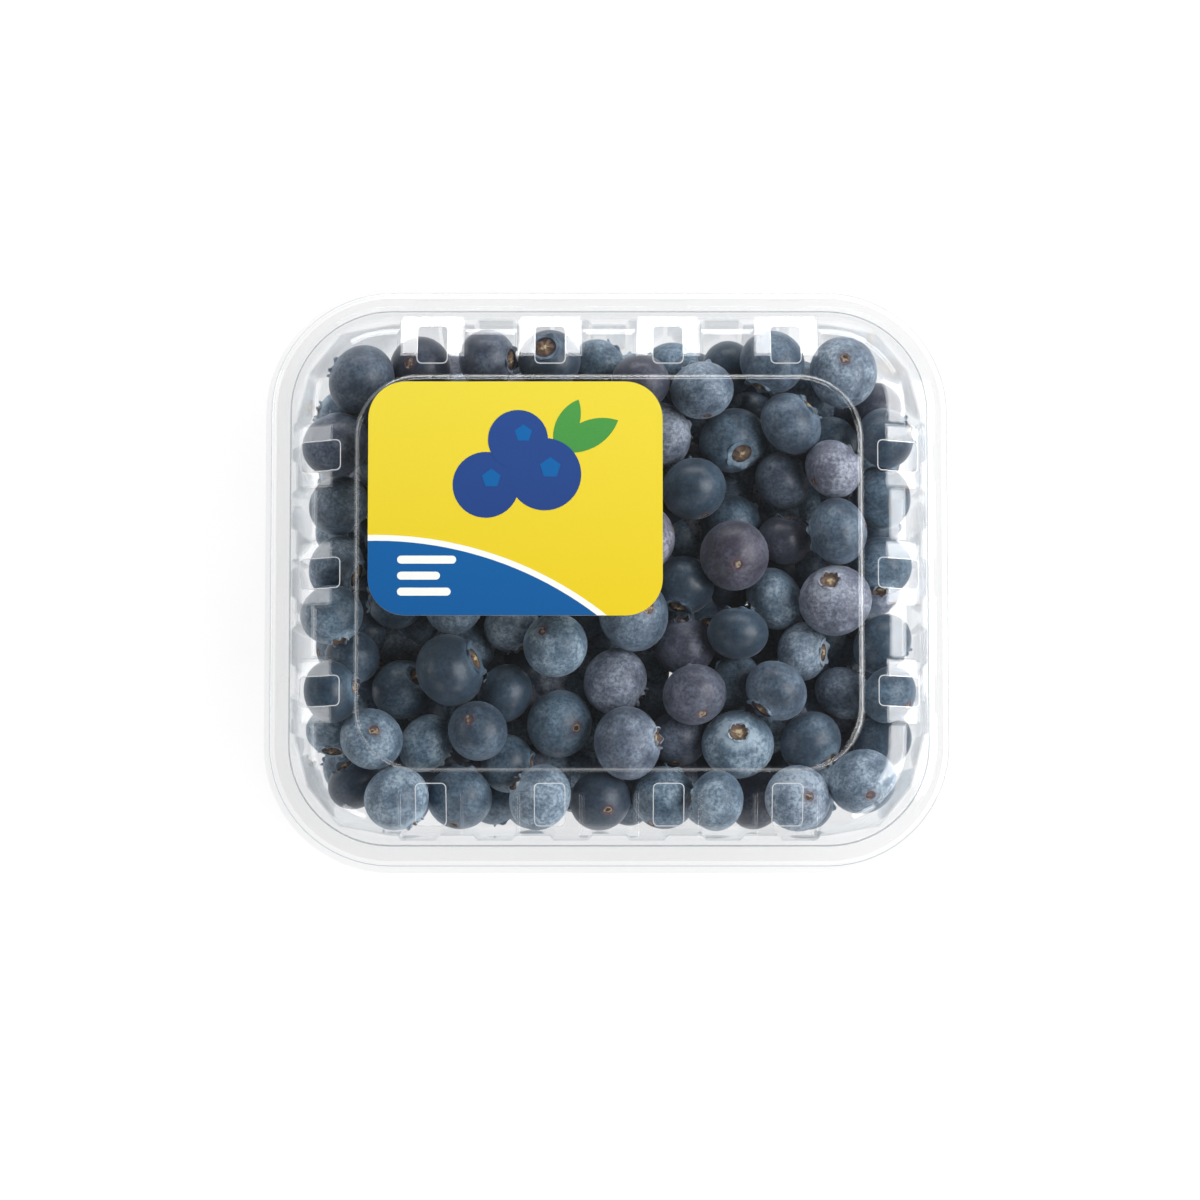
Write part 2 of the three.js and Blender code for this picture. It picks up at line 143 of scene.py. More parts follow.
def ribbed_block(name, shrink):
    """The tray's drawn form as a solid, or with shrink at the sheet's thickness its inside."""
    half = [length - shrink for length in WALL_HALF]
    piece = rounded_block(name, half, WALL_RADIUS - shrink, TRAY_RIM_Z, FOOT_ROUND - TRAY_RIM_Z, 3)
    taper = [(length - WALL_DRAFT) / length for length in half]
    bpy.ops.transform.resize(value=(taper[0], taper[1], 1), center_override=(0, 0, 0))
    quarter = [math.radians(90 * i / FOOT_STEPS) for i in range(FOOT_STEPS + 1)]
    radius = FOOT_ROUND - shrink
    press([
        (radius * (math.cos(low) - math.cos(high)), radius * (math.sin(high) - math.sin(low)))
        for low, high in zip(quarter, quarter[1:])
    ])
    for axis, (count, pitch) in enumerate(RIBS):
        for _, stops in rib_stops(count, pitch):
            for stop in stops:
                place = [0, 0, 0]
                place[axis] = stop * MM
                bpy.ops.mesh.select_all(action="SELECT")
                bpy.ops.mesh.bisect(plane_co=place, plane_no=[float(i == axis) for i in range(3)])
    for axis, (count, pitch) in enumerate(RIBS):
        out = 1 - axis
        for middle, _ in rib_stops(count, pitch):
            for side in (-1, 1):
                for low, high, share in RIB_FADE:
                    pick("verts", lambda at, normal: (
                        abs(at[axis] - middle) < RIB_HALF - RIB_SLOPE + 0.1
                        and side * at[out] > half[out] - SIDE_BAND
                        and low < at.z < high))
                    move = [0, 0, 0]
                    move[out] = side * share * RIB_DEPTH * MM
                    bpy.ops.transform.translate(value=move)
    add_pillars(half)
    return piece


def add_pillars(half):
    """Swells the middle of each corner into a round upright pillar."""
    for across in (-1, 1):
        for along in (-1, 1):
            outward = Vector((across, along, 0)).normalized()
            sideways = Vector((-outward.y, outward.x, 0))

            def on_corner(at, normal):
                level = Vector((normal.x, normal.y, 0)).normalized()
                return normal.z > -0.97 and level.dot(outward) > 0.99

            pick("faces", on_corner)
            for stop in (-PILLAR_HALF, 0, PILLAR_HALF):
                bpy.ops.mesh.bisect(plane_co=sideways * stop * MM, plane_no=sideways)
                pick("faces", on_corner)
            reach = Vector((across * half[0], along * half[1], 0)).dot(outward) - CORNER_BAND
            # The whole width swells to full depth, and then the middle line half as far again
            for swell, width in ((RIB_DEPTH, PILLAR_HALF + 0.2), (RIB_DEPTH / 2, 0.2)):
                for low, high, share in RIB_FADE:
                    pick("verts", lambda at, normal: (
                        abs(at.dot(sideways)) < width
                        and at.dot(outward) > reach
                        and low < at.z < high))
                    bpy.ops.transform.translate(value=outward * swell * share * MM)


def apply_modifier(piece, kind, **settings):
    """Adds a modifier with its settings and applies it."""
    object_mode()
    bpy.context.view_layer.objects.active = piece
    piece.select_set(True)
    modifier = piece.modifiers.new(kind.title(), kind)
    for setting, value in settings.items():
        setattr(modifier, setting, value)
    bpy.ops.object.modifier_apply(modifier=modifier.name)


def join_or_cut(piece, other, operation):
    """Joins another solid to a piece, or cuts it out, and removes the other."""
    apply_modifier(piece, "BOOLEAN", object=other, operation=operation, solver="EXACT")
    bpy.data.objects.remove(other)


tray = ribbed_block("tray_shell", 0)
tray_rim = rounded_block(
    "tray_rim",
    (HALF_LENGTH - TRAY_RIM_INSET, HALF_WIDTH - TRAY_RIM_INSET),
    RIM_RADIUS - TRAY_RIM_INSET,
    TRAY_RIM_Z - SHEET,
    SHEET,
    CORNER_STEPS,
)
join_or_cut(tray, tray_rim, "UNION")
tray_inside = ribbed_block("tray_inside", SHEET)
tray_inside.location.z = 0.02 * MM
join_or_cut(tray, tray_inside, "DIFFERENCE")


def hex_colour(code, alpha=1.0):
    """An sRGB hex colour as linear red, green, blue and alpha."""
    shares = [int(code[i:i + 2], 16) / 255 for i in (1, 3, 5)]
    return (*[c / 12.92 if c <= 0.04045 else ((c + 0.055) / 1.055) ** 2.4 for c in shares], alpha)


def add_node(material, kind, inputs=(), **settings):
    """Adds a node with its settings; each input takes a value or another node's output."""
    tree = material.node_tree
    node = tree.nodes.new("ShaderNode" + kind)
    for setting, value in settings.items():
        setattr(node, setting, value)
    for socket, value in dict(inputs).items():
        if isinstance(value, bpy.types.NodeSocket):
            tree.links.new(value, node.inputs[socket])
        else:
            node.inputs[socket].default_value = value
    return node


def new_material(name):
    """An empty node material and its output node."""
    material = bpy.data.materials.new(name)
    material.use_nodes = True
    material.node_tree.nodes.clear()
    return material, add_node(material, "OutputMaterial")


def ramp(material, factor, stops):
    """A colour ramp from (place, colour) stops."""
    node = add_node(material, "ValToRGB", {"Fac": factor})
    elements = node.color_ramp.elements
    while len(elements) < len(stops):
        elements.new(0.5)
    for element, (place, colour) in zip(elements, stops):
        element.position = place
        element.color = colour
    return node.outputs["Color"]


def finish_piece(piece, *materials, smooth=math.radians(35)):
    """Gives a piece its materials and smooth shading up to an angle."""
    object_mode()
    piece.data.materials.clear()
    for material in materials:
        piece.data.materials.append(material)
    bpy.context.view_layer.objects.active = piece
    piece.select_set(True)
    bpy.ops.object.shade_smooth_by_angle(angle=smooth)
    piece.select_set(False)


# Thermoformed clear PET: light goes straight through the thin sheet, and each face of it reflects
# a little, much more at a glancing angle. Where the eye looks along the sheet, at its walls and
# edges, it takes some light away and shows as pale grey bands.
def clear_pet(name, haze, clear="#FEFEFE", slanted="#F6F7F8"):
    material, output = new_material(name)
    facing = add_node(material, "LayerWeight", {"Blend": 0.5}).outputs["Facing"]
    tint = ramp(material, facing, (
        (0.0, hex_colour(clear)), (0.85, hex_colour(slanted)),
        (0.94, hex_colour("#E4E8EA")), (1.0, hex_colour("#98A0A5"))))
    through = add_node(material, "BsdfTransparent", {"Color": tint})
    milk = add_node(material, "BsdfDiffuse", {"Color": hex_colour("#F4F6F7")})
    body = add_node(material, "MixShader", {
        0: haze, 1: through.outputs["BSDF"], 2: milk.outputs["BSDF"]})
    gloss = add_node(material, "BsdfGlossy", {
        "Color": hex_colour("#FFFFFF"), "Roughness": 0.06})
    # The share that a face of PET reflects, from 5% straight on to nearly all along the sheet
    glancing = add_node(material, "Math", {0: facing, 1: 5.0}, operation="POWER")
    share = add_node(material, "Math", {
        0: glancing.outputs["Value"], 1: 0.85, 2: 0.045}, operation="MULTIPLY_ADD")
    whole = add_node(material, "MixShader", {
        0: share.outputs["Value"], 1: body.outputs["Shader"], 2: gloss.outputs["BSDF"]})
    material.node_tree.links.new(whole.outputs["Shader"], output.inputs["Surface"])
    return material


finish_piece(tray, clear_pet("clear PET, tray sheet", 0.008), smooth=math.radians(28))
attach(tray, "root")
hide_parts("tray")


# The blueberries
# Loose fresh fruit, 11 to 14 mm across, a little flattened. One end has the crown, five short
# lobes round a shallow pit, and the other the small scar where the stalk came away. The dark
# skin is under a pale waxy bloom, which is patchy where the fruit has been handled.

BERRY_SMALLEST = 10.6
BERRY_SPREAD = 3
POURED_COLUMNS = 10
POURED_ROWS = 7
ROW_SHIFT = 0.25
JITTER = 3
POURED_HEIGHT = 6
POURED_LIFT = 2
LEVELS = (15, 18.5, 22.5)
SETTLE_STEPS = 300
SETTLE_FALL = 0.12
SETTLE_PULL = 0.2
PULLED_STEPS = 240
HEAP_TOP = 30.5
CORNER_FLAT = 0.75

# Berries that show through the lid or lie hidden under its sticker: x, y, diameter, and how high
# they lie, 0 low and 2 on top. Where the crown or the stalk's scar shows, which of the two and
# where it points follow, as shares of the berry's radius to the right and to the back.
LAID_BERRIES = (
    # Along the back, from the left
    (-47.2, 36.8, 13.6, 2), (-36.2, 41.3, 12, 1, "scar", -0.35, 0.03), (-29.5, 38.5, 11, 0),
    (-22.6, 41.2, 11.6, 1), (-16.5, 38.5, 11, 0), (-9, 41.2, 12, 1, "crown", -0.17, 0.38),
    (-0.5, 39.6, 11.5, 1), (6.2, 38.2, 11, 0), (12, 42, 11, 0), (16.8, 40.3, 12, 2),
    (23.6, 39.6, 11, 0), (31, 41, 12.5, 1), (44.3, 37.6, 13.4, 2, "scar", 0.0, 0.28),
    (50, 33.5, 11, 0), (38, 39, 11, 0),
    # Along the left, from the back
    (-52, 24.8, 13.2, 1), (-43, 24.5, 11, 0), (-51, 12.8, 12, 1), (-42, 9, 11, 0),
    (-51.8, 3, 11.8, 1), (-52.6, -6.4, 12, 1), (-51, -13.4, 10.8, 0), (-52.6, -20.2, 11.8, 1),
    (-51.8, -28.2, 10.8, 0), (-47.2, -29.8, 11.8, 1, "scar", 0.15, 0.25), (-47, -38, 10.8, 0),
    # Along the right, from the back
    (52.6, 27, 12, 1), (53, 13.5, 12, 1), (53, 2.5, 12, 1), (53, -10.3, 12, 1),
    (52.6, -20.8, 11.2, 1, "scar", 0.72, -0.5), (51.4, -29.3, 11.6, 0),
    (48.2, -38, 12.6, 1, "scar", 0.22, -0.5),
    # Along the front, from the left
    (-41.6, -40.5, 12.6, 1), (-29, -41.6, 12.6, 1), (-19.5, -38.5, 10.8, 0),
    (-11, -41.4, 13, 1), (-2.2, -41.3, 11.6, 0, "scar", 0.3, -0.4), (9, -42.4, 12.6, 1),
    (18.6, -41.4, 11.2, 1), (28.5, -41.5, 11.5, 0), (36, -42, 12.6, 1, "scar", 0.35, 0.0),
    # In the middle, right of the sticker
    (8.8, 28.8, 12.8, 1), (24.8, 29.8, 12.8, 2, "crown", 0.31, -0.6), (36.4, 28.6, 12.4, 2),
    (44, 27.5, 11, 0), (16.8, 18.6, 12.6, 2), (31, 18.8, 11.6, 1), (42, 19.5, 11.2, 1),
    (25, 11.6, 12, 1), (24.6, 4, 13.3, 2, "scar", 0.06, -0.38), (41.8, 8.4, 12.6, 1),
    (42.4, -3.1, 13.8, 2, "crown", -0.2, 0.52), (7, 9.3, 12.4, 1), (15.2, 0.4, 11.6, 1),
    (32.8, -0.4, 12, 0), (4.4, -5.6, 14, 2, "scar", 0.47, 0.11), (14.9, -11.8, 12, 1),
    (25, -9, 11.6, 1), (41, -10.6, 11, 0), (33.6, -17.4, 12.2, 2), (44, -19.6, 11, 1),
    (16.6, -22.4, 12.2, 2, "scar", 0.26, -0.75), (1.8, -19.3, 12.8, 1), (24, -19, 11, 0),
    (3.4, -31.7, 13.6, 2), (24.9, -31.8, 13.4, 2, "crown", 0.0, 0.3), (38.2, -30.8, 12, 1),
    (12.8, -31, 11, 0), (32, 8.5, 11, 0),
    # In the middle, in front of the sticker
    (-42, -20, 11.8, 1, "crown", 0.62, 0.42), (-29.9, -17.4, 14, 2), (-35.6, -29.2, 11.4, 1),
    (-23.9, -29.3, 11.4, 2, "scar", -0.28, 0.33), (-9.5, -26.6, 12.8, 2, "scar", 0.58, -0.19),
    (-11.3, -12, 12.4, 2, "scar", -0.44, 0.4), (-19, -20.5, 11, 0), (-3.5, -5, 12, 0),
    (-19.5, -9.5, 11, 1),
    # Under the sticker
    (-38, 31, 12, 1), (-26.5, 31, 12.5, 1), (-15, 30.5, 12, 1), (-3.5, 30.5, 12.4, 1),
    (-32.5, 20, 12.6, 1), (-20.5, 19.5, 12, 1), (-9, 20, 12.8, 1), (3.5, 19, 11.8, 1),
    (-29.5, 7.5, 12.4, 1), (-17, 8, 12, 1), (-5, 8.5, 12.6, 1), (-40.5, -2, 12, 1),
    (-29, -4.5, 12, 1),
)


def seeded_draws(state=20299):
    """The same run of numbers from 0 to 1 that places the solid heap's berries."""
    while True:
        state = (state * 1664525 + 1013904223) % 4294967296
        yield state / 4294967296


def poured_berries(draws):
    """The loose lower layer as [x, y, z, radius], at rough places on a grid."""
    berries = []
    for row in range(POURED_ROWS):
        shift = ROW_SHIFT if row % 2 else -ROW_SHIFT
        for column in range(POURED_COLUMNS):
            radius = (BERRY_SMALLEST + BERRY_SPREAD * (next(draws) + next(draws)) / 2) / 2
            across = (column - (POURED_COLUMNS - 1) / 2 + shift) * (2 * WALL_HALF[0] / POURED_COLUMNS)
            along = (row - (POURED_ROWS - 1) / 2) * (2 * WALL_HALF[1] / POURED_ROWS)
            x = across + (next(draws) - 0.5) * JITTER
            y = along + (next(draws) - 0.5) * JITTER
            berries.append([x, y, POURED_HEIGHT + next(draws) * POURED_LIFT, radius])
    return berries


def push_apart(berries):
    """Moves each two berries that overlap away from each other by half the overlap."""
    for i, a in enumerate(berries):
        for b in berries[i + 1:]:
            x, y, z = b[0] - a[0], b[1] - a[1], b[2] - a[2]
            reach = a[3] + b[3]
            if abs(x) > reach or abs(y) > reach:
                continue
            apart = math.sqrt(x * x + y * y + z * z)
            if apart >= reach:
                continue
            share = (reach - apart) / apart / 2
            for axis, offset in enumerate((x, y, z)):
                a[axis] -= offset * share
                b[axis] += offset * share


def keep_inside(berry):
    """Moves a berry back inside the tray's walls, over its floor and under the lid."""
    room = berry[3] + CLEARANCE
    lean = WALL_DRAFT * (1 - berry[2] / TRAY_RIM_Z)
    half = [length - SHEET - lean for length in WALL_HALF]
    radius = WALL_RADIUS - SHEET - lean
    berry[2] = min(max(berry[2], SHEET + room), HEAP_TOP - berry[3])
    corner = [abs(berry[axis]) - (half[axis] - radius) for axis in (0, 1)]
    if min(corner) > 0:
        reach = math.sqrt(corner[0] * corner[0] + corner[1] * corner[1])
        share = min(1, (radius - room - CORNER_FLAT) / reach)
        inside = [half[axis] - radius + corner[axis] * share for axis in (0, 1)]
    else:
        inside = [min(abs(berry[axis]), half[axis] - room) for axis in (0, 1)]
    for axis in (0, 1):
        berry[axis] = math.copysign(inside[axis], berry[axis])


laid = [[x, y, LEVELS[level], diameter / 2] for x, y, diameter, level, *_ in LAID_BERRIES]
heap = poured_berries(seeded_draws()) + laid
for step in range(SETTLE_STEPS):
    for berry in heap:
        berry[2] -= SETTLE_FALL * (1 - step / SETTLE_STEPS)
    if step < PULLED_STEPS:
        for berry, (x, y, *_) in zip(laid, LAID_BERRIES):
            berry[0] += (x - berry[0]) * SETTLE_PULL
            berry[1] += (y - berry[1]) * SETTLE_PULL
    push_apart(heap)
    for berry in heap:
        keep_inside(berry)

# Hidden fruit at half depth, wherever the camera would look between the berries to the floor.
# The slope is how far a line of sight moves to the back for each mm down, and the cover is how
# far inside a berry's outline a place has to lie to be hidden by it.
BED_HEIGHT = 9
BED_RADIUS = 5
BED_HALF = (54, 44)
BED_STEP = 1.2
SIGHT_SLOPE = 0.105
BED_COVER = 0.6
for column in range(int(-BED_HALF[0] / BED_STEP), int(BED_HALF[0] / BED_STEP) + 1):
    for row in range(int(-BED_HALF[1] / BED_STEP), int(BED_HALF[1] / BED_STEP) + 1):
        x, y = column * BED_STEP, row * BED_STEP
        held = [x, y, BED_HEIGHT, BED_RADIUS]
        keep_inside(held)
        beyond_wall = math.hypot(held[0] - x, held[1] - y) > 0.1
        if not beyond_wall and all(
                math.hypot(berry[0] - x, berry[1] + (berry[2] - BED_HEIGHT) * SIGHT_SLOPE - y)
                > berry[3] - BED_COVER for berry in heap):
            heap.append(held)

BERRY_SEGMENTS = 30
BERRY_RINGS = 18
LOBES = 5
# In thousandths of the berry's radius, as pick counts
CROWN_TOP_BAND = 60
# How much narrower the brown pit is than the crown's foot, and the bare flesh than the scar
CROWN_WALL = 0.125
SCAR_EDGE = 0.01


def model_berry(name, crown, scar):
    """One berry of radius 1 m, crown up: the crown's and the scar's half widths are shares of it."""
    object_mode()
    bpy.ops.mesh.primitive_uv_sphere_add(segments=BERRY_SEGMENTS, ring_count=BERRY_RINGS, radius=1)
    piece = start_piece(name)
    edit(piece)
    pick("faces", lambda at, normal: at.z > 0 and math.hypot(at.x, at.y) < crown / MM)
    # The crown's foot, its outer wall in two steps, the wall's top, its inner wall and the pit
    crown_steps = (
        (0.04, 0.0), (0.02, 0.045), (0.02, 0.03), (0.04, -0.01), (0.015, -0.09), (0.05, -0.04))
    for inset, depth in crown_steps:
        bpy.ops.mesh.inset(thickness=inset, depth=depth)
    # The wall's top is drawn up and out into lobes, and down and in between them
    top = max(vert.co.z for vert in bmesh.from_edit_mesh(piece.data).verts) / MM
    for lobe in range(LOBES):
        for half_turn, lift, spread in ((0, 0.02, 1.1), (0.5, -0.07, 0.97)):
            angle = 2 * math.pi * (lobe + half_turn) / LOBES
            pick("verts", lambda at, normal: (
                at.z > top - CROWN_TOP_BAND
                and at.x * math.cos(angle) + at.y * math.sin(angle)
                > 0.93 * math.hypot(at.x, at.y)))
            bpy.ops.transform.translate(value=(0, 0, lift))
            bpy.ops.transform.resize(value=(spread, spread, 1), center_override=(0, 0, 0))
    pick("faces", lambda at, normal: at.z < 0 and math.hypot(at.x, at.y) < scar / MM)
    # The scar's edge, a small step down and its slightly raised middle
    for inset, depth in ((0.02, 0.0), (0.015, -0.025), (0.03, 0.01)):
        bpy.ops.mesh.inset(thickness=inset, depth=depth)
    object_mode()
    return piece


# Fresh blueberry skin: smooth and nearly black-blue, under a thin matt layer of pale wax that
# catches light at a glancing angle. The wax has fine specks, drawn coarser than the real ones so
# that they show, is rubbed thin in patches of 3 to 5 mm, and is thickest round the crown. Each
# berry has its own share of wax, from the attribute bloom, and its own tone from slate blue to
# purple-grey, from ripeness. The attribute end is 1 on the crown's axis, -1 on the scar's and 0 at
# the berry's waist: the skin reddens by the scar.
def blueberry_skin():
    material, output = new_material("blueberry skin with wax bloom")
    place = add_node(material, "TexCoord").outputs["Object"]
    own = add_node(material, "Attribute", attribute_name="bloom").outputs["Fac"]
    ripeness = add_node(material, "Attribute", attribute_name="ripeness").outputs["Fac"]
    end = add_node(material, "Attribute", attribute_name="end").outputs["Fac"]
    patches = add_node(material, "TexNoise", {
        "Vector": place, "Scale": 1 / (4.5 * MM), "Detail": 2.5, "Roughness": 0.5})
    rubbed = add_node(material, "MapRange", {
        "Value": patches.outputs["Fac"], "From Min": 0.36, "From Max": 0.64,
        "To Min": 0.55, "To Max": 1.0})
    specks = add_node(material, "TexNoise", {
        "Vector": place, "Scale": 1 / (0.7 * MM), "Detail": 3, "Roughness": 0.7})
    fine = add_node(material, "MapRange", {
        "Value": specks.outputs["Fac"], "From Min": 0.34, "From Max": 0.62,
        "To Min": 0.6, "To Max": 1.1})
    wax = add_node(material, "Math", {
        0: rubbed.outputs["Result"], 1: fine.outputs["Result"]}, operation="MULTIPLY")
    collar = add_node(material, "MapRange", {
        "Value": end, "From Min": 0.35, "From Max": 0.6, "To Min": 0.0, "To Max": 0.3})
    amount = add_node(material, "Math", {
        0: wax.outputs["Value"], 1: own, 2: collar.outputs["Result"]}, operation="MULTIPLY_ADD")
    slate = ramp(material, amount.outputs["Value"], (
        (0.0, hex_colour("#1B222D")),
        (0.3, hex_colour("#3D4F60")),
        (0.65, hex_colour("#6B8295")),
        (1.0, hex_colour("#A5B9C8"))))
    purple = ramp(material, amount.outputs["Value"], (
        (0.0, hex_colour("#201C25")),
        (0.3, hex_colour("#4A4755")),
        (0.65, hex_colour("#7A7A8B")),
        (1.0, hex_colour("#B3B6C5"))))
    skin_colour = add_node(material, "Mix", {0: ripeness, 6: slate, 7: purple}, data_type="RGBA")
    by_scar = add_node(material, "MapRange", {
        "Value": end, "From Min": -0.7, "From Max": -0.88, "To Min": 0.0, "To Max": 0.6})
    colour = add_node(material, "Mix", {
        0: by_scar.outputs["Result"], 6: skin_colour.outputs[2], 7: hex_colour("#604A52")},
        data_type="RGBA")
    roughness = add_node(material, "MapRange", {
        "Value": amount.outputs["Value"], "To Min": 0.3, "To Max": 0.55})
    bump = add_node(material, "Bump", {
        "Height": specks.outputs["Fac"], "Strength": 0.25, "Distance": 0.06 * MM})
    skin = add_node(material, "BsdfPrincipled", {
        "Base Color": colour.outputs[2],
        "Roughness": roughness.outputs["Result"],
        "IOR": 1.45,
        "Sheen Weight": 0.25,
        "Sheen Roughness": 0.45,
        "Sheen Tint": hex_colour("#C6D2E0"),
        "Normal": bump.outputs["Normal"]})
    material.node_tree.links.new(skin.outputs["BSDF"], output.inputs["Surface"])
    return material


# The crown's pit, floored with dry brown tissue round the pale dot that the flower's style left. The
# floor is darkest at its rim, a painted shade where the crown's inner wall shades it.
def dried_crown():
    material, output = new_material("dried crown pit")
    place = add_node(material, "TexCoord").outputs["Object"]
    end = add_node(material, "Attribute", attribute_name="end").outputs["Fac"]
    fibres = add_node(material, "TexNoise", {"Vector": place, "Scale": 1 / (0.7 * MM), "Detail": 3})
    flecks = add_node(material, "MapRange", {
        "Value": fibres.outputs["Fac"], "From Min": 0.3, "From Max": 0.7,
        "To Min": -0.08, "To Max": 0.08})
    inward = add_node(material, "Math", {0: end, 1: flecks.outputs["Result"]}, operation="ADD")
    # Darkest at the pit's rim: painted shade of the crown's inner wall; the browns and the pale dot
    # are the tissue's own colour
    colour = ramp(material, inward.outputs["Value"], (
        (0.66, hex_colour("#2C2426")),
        (0.78, hex_colour("#5D4B42")),
        (0.9, hex_colour("#7E6754")),
        (0.97, hex_colour("#CDBB92"))))
    bump = add_node(material, "Bump", {
        "Height": fibres.outputs["Fac"], "Strength": 0.5, "Distance": 0.15 * MM})
    crown = add_node(material, "BsdfPrincipled", {
        "Base Color": colour, "Roughness": 0.7, "Normal": bump.outputs["Normal"]})
    material.node_tree.links.new(crown.outputs["BSDF"], output.inputs["Surface"])
    return material


# The bare flesh where the stalk came away: a dry tan ring round a dark pit, uneven as it tore.
def stalk_scar():
    material, output = new_material("dry stalk scar")
    place = add_node(material, "TexCoord").outputs["Object"]
    end = add_node(material, "Attribute", attribute_name="end").outputs["Fac"]
    fibres = add_node(material, "TexNoise", {"Vector": place, "Scale": 1 / (0.35 * MM), "Detail": 3})
    flecks = add_node(material, "Math", {0: fibres.outputs["Fac"], 1: 0.12}, operation="MULTIPLY")
    torn = add_node(material, "TexNoise", {"Vector": place, "Scale": 1 / (1.2 * MM), "Detail": 1})
    uneven = add_node(material, "MapRange", {
        "Value": torn.outputs["Fac"], "From Min": 0.35, "From Max": 0.65,
        "To Min": -0.09, "To Max": 0.09})
    ring = add_node(material, "Math", {0: end, 1: flecks.outputs["Value"]}, operation="ADD")
    ring = add_node(material, "Math", {
        0: ring.outputs["Value"], 1: uneven.outputs["Result"]}, operation="ADD")
    from_pit = add_node(material, "MapRange", {
        "Value": ring.outputs["Value"], "From Min": -0.95, "From Max": -0.8})
    colour = ramp(material, from_pit.outputs["Result"], (
        (0.0, hex_colour("#3A2C27")),
        (0.25, hex_colour("#5F4A3E")),
        (0.5, hex_colour("#B5A387")),
        (0.75, hex_colour("#7F6C61")),
        (1.0, hex_colour("#5E4E52"))))
    bump = add_node(material, "Bump", {
        "Height": fibres.outputs["Fac"], "Strength": 0.6, "Distance": 0.12 * MM})
    scar = add_node(material, "BsdfPrincipled", {
        "Base Color": colour, "Roughness": 0.8, "Normal": bump.outputs["Normal"]})
    material.node_tree.links.new(scar.outputs["BSDF"], output.inputs["Surface"])
    return material


FRUIT_MATERIALS = (blueberry_skin(), dried_crown(), stalk_scar())

# Kinds of berry: the crown's and the scar's half widths, as shares of the berry's radius
BERRY_KINDS = (("wide_crowned", 0.46, 0.14), ("small_crowned", 0.38, 0.12), ("long", 0.42, 0.18))
patterns = []
for kind, crown, scar in BERRY_KINDS:
    pattern = model_berry("pattern_" + kind, crown, scar)
    for material in FRUIT_MATERIALS:
        pattern.data.materials.append(material)
    for face in pattern.data.polygons:
        reach = math.hypot(face.center.x, face.center.y)
        if face.center.z > 0 and reach < crown - CROWN_WALL:
            face.material_index = 1
        if face.center.z < 0 and reach < scar - SCAR_EDGE:
            face.material_index = 2
    end = pattern.data.attributes.new("end", "FLOAT", "POINT")
    end.data.foreach_set("value", [
        math.copysign(1 - math.hypot(vert.co.x, vert.co.y), vert.co.z)
        for vert in pattern.data.vertices])
    patterns.append(pattern)

turns = random.Random(11)
crown_aims = {}
for i, (_, _, _, _, *shown) in enumerate(LAID_BERRIES, start=POURED_COLUMNS * POURED_ROWS):
    if shown:
        end, right, back = shown
        up = math.sqrt(1 - right * right - back * back)
        crown_aims[i] = Vector((right, back, up)) * (1 if end == "crown" else -1)

# Each berry is turned, a little flattened and oval, and has its own share of bloom. Where its ends
# aren't known from the photograph, it lies on its side.
groups = {kind: [] for kind, _, _ in BERRY_KINDS}
for i, (x, y, z, radius) in enumerate(heap):
    aim = crown_aims.get(i)
    if aim is None:
        bearing = turns.uniform(0, 2 * math.pi)
        tilt = turns.uniform(-0.42, 0.42)
        aim = Vector((math.cos(bearing), math.sin(bearing), tilt)).normalized()
    choice = turns.randrange(len(patterns))
    berry = patterns[choice].copy()
    berry.data = patterns[choice].data.copy()
    bpy.context.collection.objects.link(berry)
    flatness = turns.uniform(0.84, 0.95)
    oval = turns.uniform(0.96, 1.04)
    size = Matrix.Diagonal((radius * oval, radius / oval, radius * flatness, 1)).to_4x4()
    spin = Matrix.Rotation(turns.uniform(0, 2 * math.pi), 4, "Z")
    turn = aim.to_track_quat("Z", "Y").to_matrix().to_4x4()
    place = Matrix.Translation((x * MM, y * MM, z * MM))
    berry.data.transform(place @ turn @ Matrix.Scale(MM, 4) @ size @ spin)
    for name, share in (("bloom", turns.uniform(0.3, 1.1)), ("ripeness", turns.uniform(0, 1) ** 3)):
        own = berry.data.attributes.new(name, "FLOAT", "POINT")
        own.data.foreach_set("value", [share] * len(berry.data.vertices))
    groups[BERRY_KINDS[choice][0]].append(berry)

for pattern in patterns:
    bpy.data.objects.remove(pattern)

for kind, berries in groups.items():
    object_mode()
    for berry in berries:
        berry.select_set(True)
    bpy.context.view_layer.objects.active = berries[0]
    bpy.ops.object.join()
    bunch = bpy.context.object
    bunch.name = "berries_" + kind
    bunch.data.name = bunch.name
    bpy.ops.object.shade_smooth_by_angle(angle=math.radians(50))
    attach(bunch, "root")
    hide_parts("berries")


# The lid
# A second drawn sheet of the same clear PET. Its edge is a lip and a low skirt that press over
# the tray's rim, and a domed shoulder rises to a flat panel. Vents are pressed into the
# shoulder and punched, and one corner of the lip is left as a finger tab.

LIP_DROP = 3.2
LIP_Z = RIM_HEIGHT - LIP_DROP
LIP_WIDTH = 0.8
# How far in from the outer edge, and how high over the lid's flat rim
LID_LEVELS = (
    (LIP_WIDTH, SHEET - LIP_DROP),
    (1.15, -0.5),
    (1.3, -0.15),
    (1.6, 0),
    (3.4, 0),
    (3.75, 0.15),
    (4.0, 0.45),
    (4.4, 0.6),
    (4.8, 0.75),
    (5.1, 1.2),
    (5.8, 2.9),
    (6.6, 4.6),
    (7.3, 5.95),
    (8.0, 6.95),
    (9.1, 8.05),
    (10.5, 8.8),
    (12.3, 9.35),
    (14.2, 9.6),
)
PANEL_HALF = (HALF_LENGTH - 17.4, HALF_WIDTH - 18.2)
PANEL_RADIUS = 12
